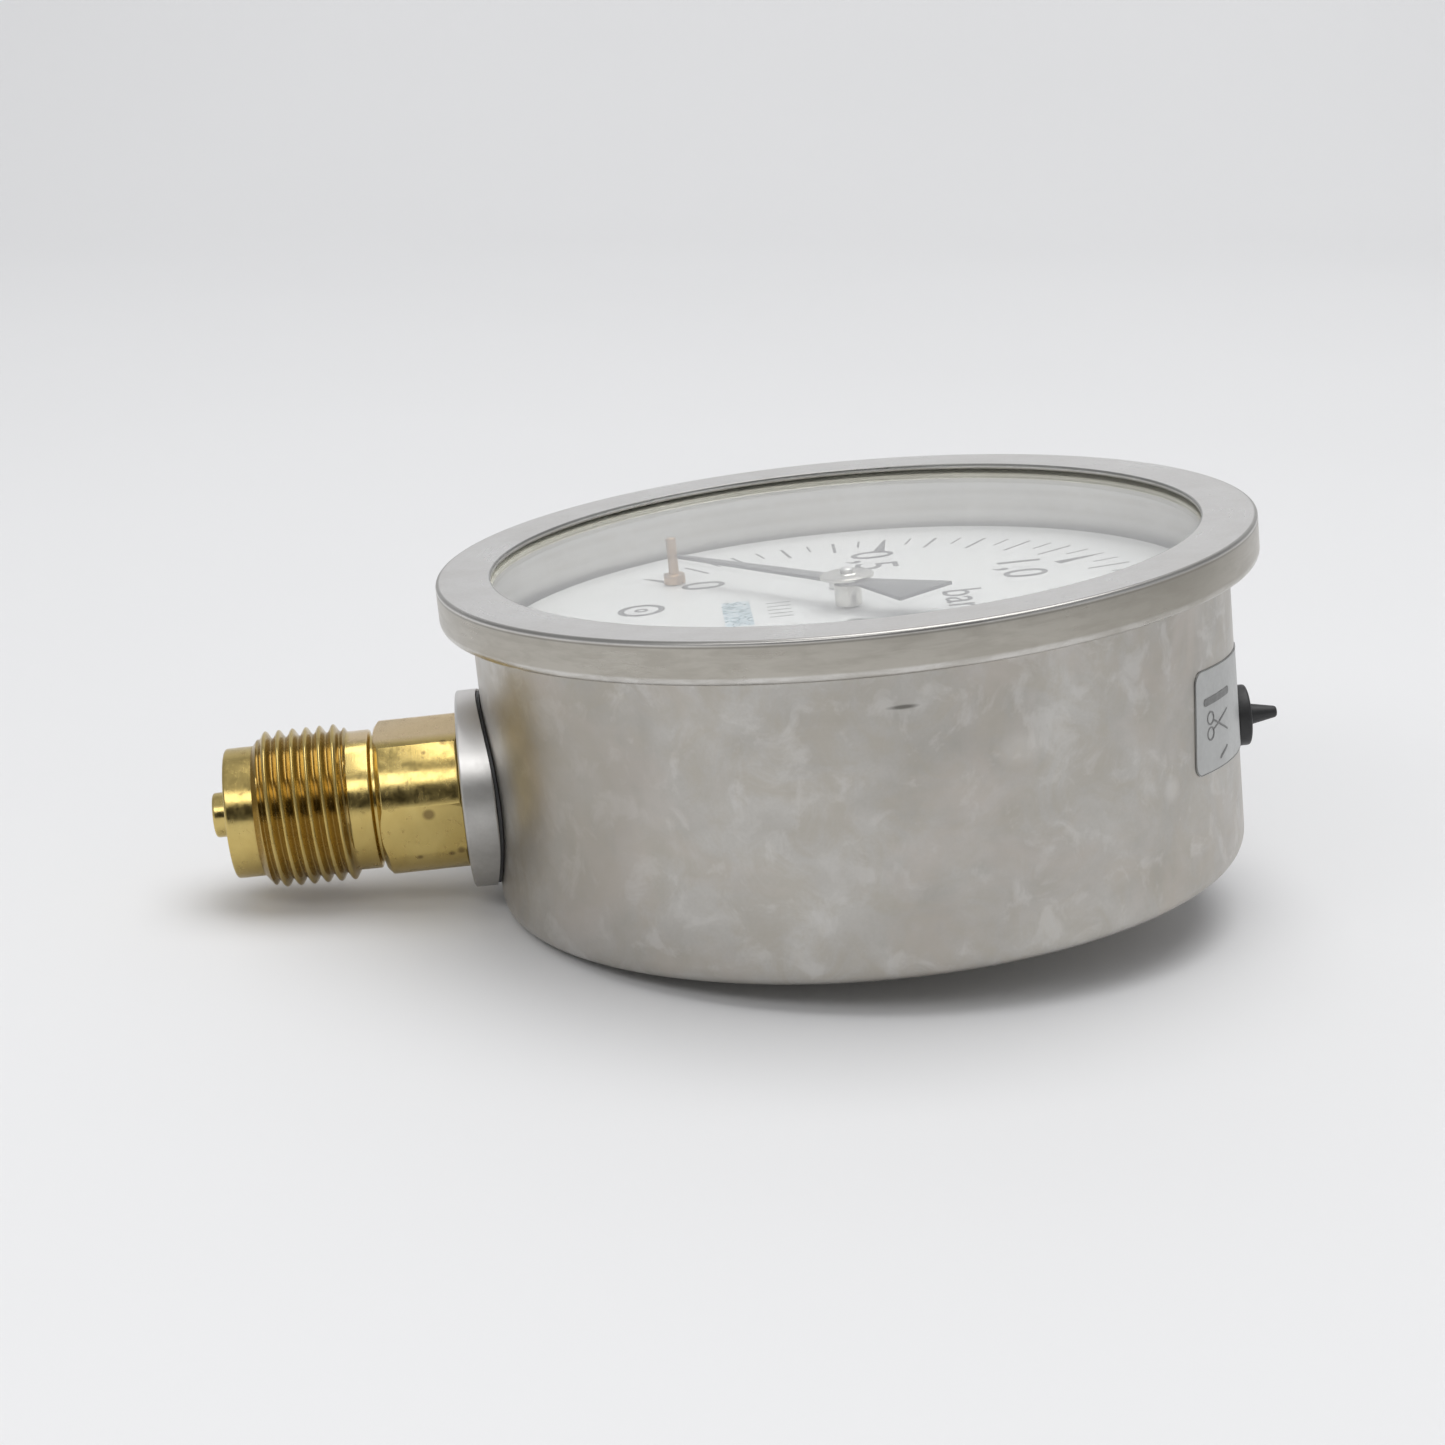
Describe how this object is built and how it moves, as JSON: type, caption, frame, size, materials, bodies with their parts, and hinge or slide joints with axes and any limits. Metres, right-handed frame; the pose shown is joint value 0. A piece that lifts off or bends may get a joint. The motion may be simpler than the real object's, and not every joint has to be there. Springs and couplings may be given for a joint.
{
  "type": "pressure gauge",
  "caption": "Round dial pressure gauge with a steel case, crimped ring, brass threaded bottom connection and rubber vent plug.",
  "frame": {"origin": "centre of the raised boss on the back of the case, where the gauge rests when it lies on its back", "axes": "+Z along the dial's axis, out of the window; -X along the stem (6 o'clock); +X to the vent plug (12 o'clock)"},
  "size_m": [0.1431, 0.108, 0.0477],
  "materials": {
    "case_steel": "satin, pickled",
    "ring_steel": "satin",
    "plated_steel": "zinc plated",
    "nickel_plate": "nickel plated",
    "brass": "turned, slightly tarnished",
    "spring_bronze": "rolled strip",
    "black_rubber": "matte",
    "cream_rubber": "matte",
    "clear_pane": "clear, polished",
    "dial_white": "white with black print",
    "pointer_black": "matte black",
    "label_foil": "matte foil with a dark outline"
  },
  "bodies": {
    "housing": {"case": "case_steel", "bezel_ring": "ring_steel", "window": "clear_pane", "window_seal": "cream_rubber", "dial": "dial_white", "dial_screw_1": "plated_steel", "dial_screw_2": "plated_steel", "stop_pin": "brass", "stem": "brass", "stem_flange": "case_steel", "stem_gasket": "black_rubber", "flange_screw_1": "plated_steel", "flange_screw_2": "plated_steel", "bourdon_tube": "brass", "hairspring": "spring_bronze", "hairspring_stud": "brass", "movement_plate_lower": "brass", "movement_plate_upper": "brass", "movement_pillar_1": "brass", "movement_pillar_2": "brass", "movement_pillar_3": "brass", "movement_screw_1": "plated_steel", "movement_screw_2": "plated_steel", "case_label": "label_foil"},
    "sector": {"sector_gear": "brass", "sector_shaft": "plated_steel", "sector_link_pin": "plated_steel"},
    "pointer": {"pointer": "pointer_black", "pointer_hub": "nickel_plate", "pointer_sleeve": "nickel_plate", "pinion_arbor": "plated_steel", "hairspring_collet": "brass"},
    "link": {"link": "brass"},
    "tube_tip": {"tube_end_piece": "brass", "tip_link_pin": "plated_steel"},
    "vent_plug": {"vent_plug": "black_rubber"}
  },
  "joints": [
    {"name": "sector_swing", "type": "hinge", "parent": "housing", "child": "sector", "pos_m": [-0.01956, 0.00308, 0.03], "axis": [0, 0, 1], "range_deg": [0, 27], "stiffness_Nm_per_rad": 0.02},
    {"name": "pointer_turn", "type": "hinge", "parent": "housing", "child": "pointer", "pos_m": [0, 0, 0.04], "axis": [0, 0, 1], "range_deg": [-270, 0], "deforming": ["hairspring"]},
    {"name": "link_swing", "type": "hinge", "parent": "sector", "child": "link", "pos_m": [-0.02723, 0.00081, 0.032], "axis": [0, 0, 1], "range_deg": [-27, 0]},
    {"name": "tip_swing", "type": "hinge", "parent": "housing", "child": "tube_tip", "pos_m": [0.033, 0, 0.02], "axis": [0, 0, 1], "range_deg": [0, 4.12], "deforming": ["bourdon_tube"]},
    {"name": "vent_plug_pull", "type": "slide", "parent": "housing", "child": "vent_plug", "axis": [1, 0, 0], "range_m": [0, 0.009]}
  ],
  "couplings": [
    {"joint": "pointer_turn", "follows": "sector_swing", "ratio": -10},
    {"joint": "link_swing", "follows": "sector_swing", "ratio": -1},
    {"joint": "tip_swing", "follows": "sector_swing", "ratio": 0.15239}
  ]
}
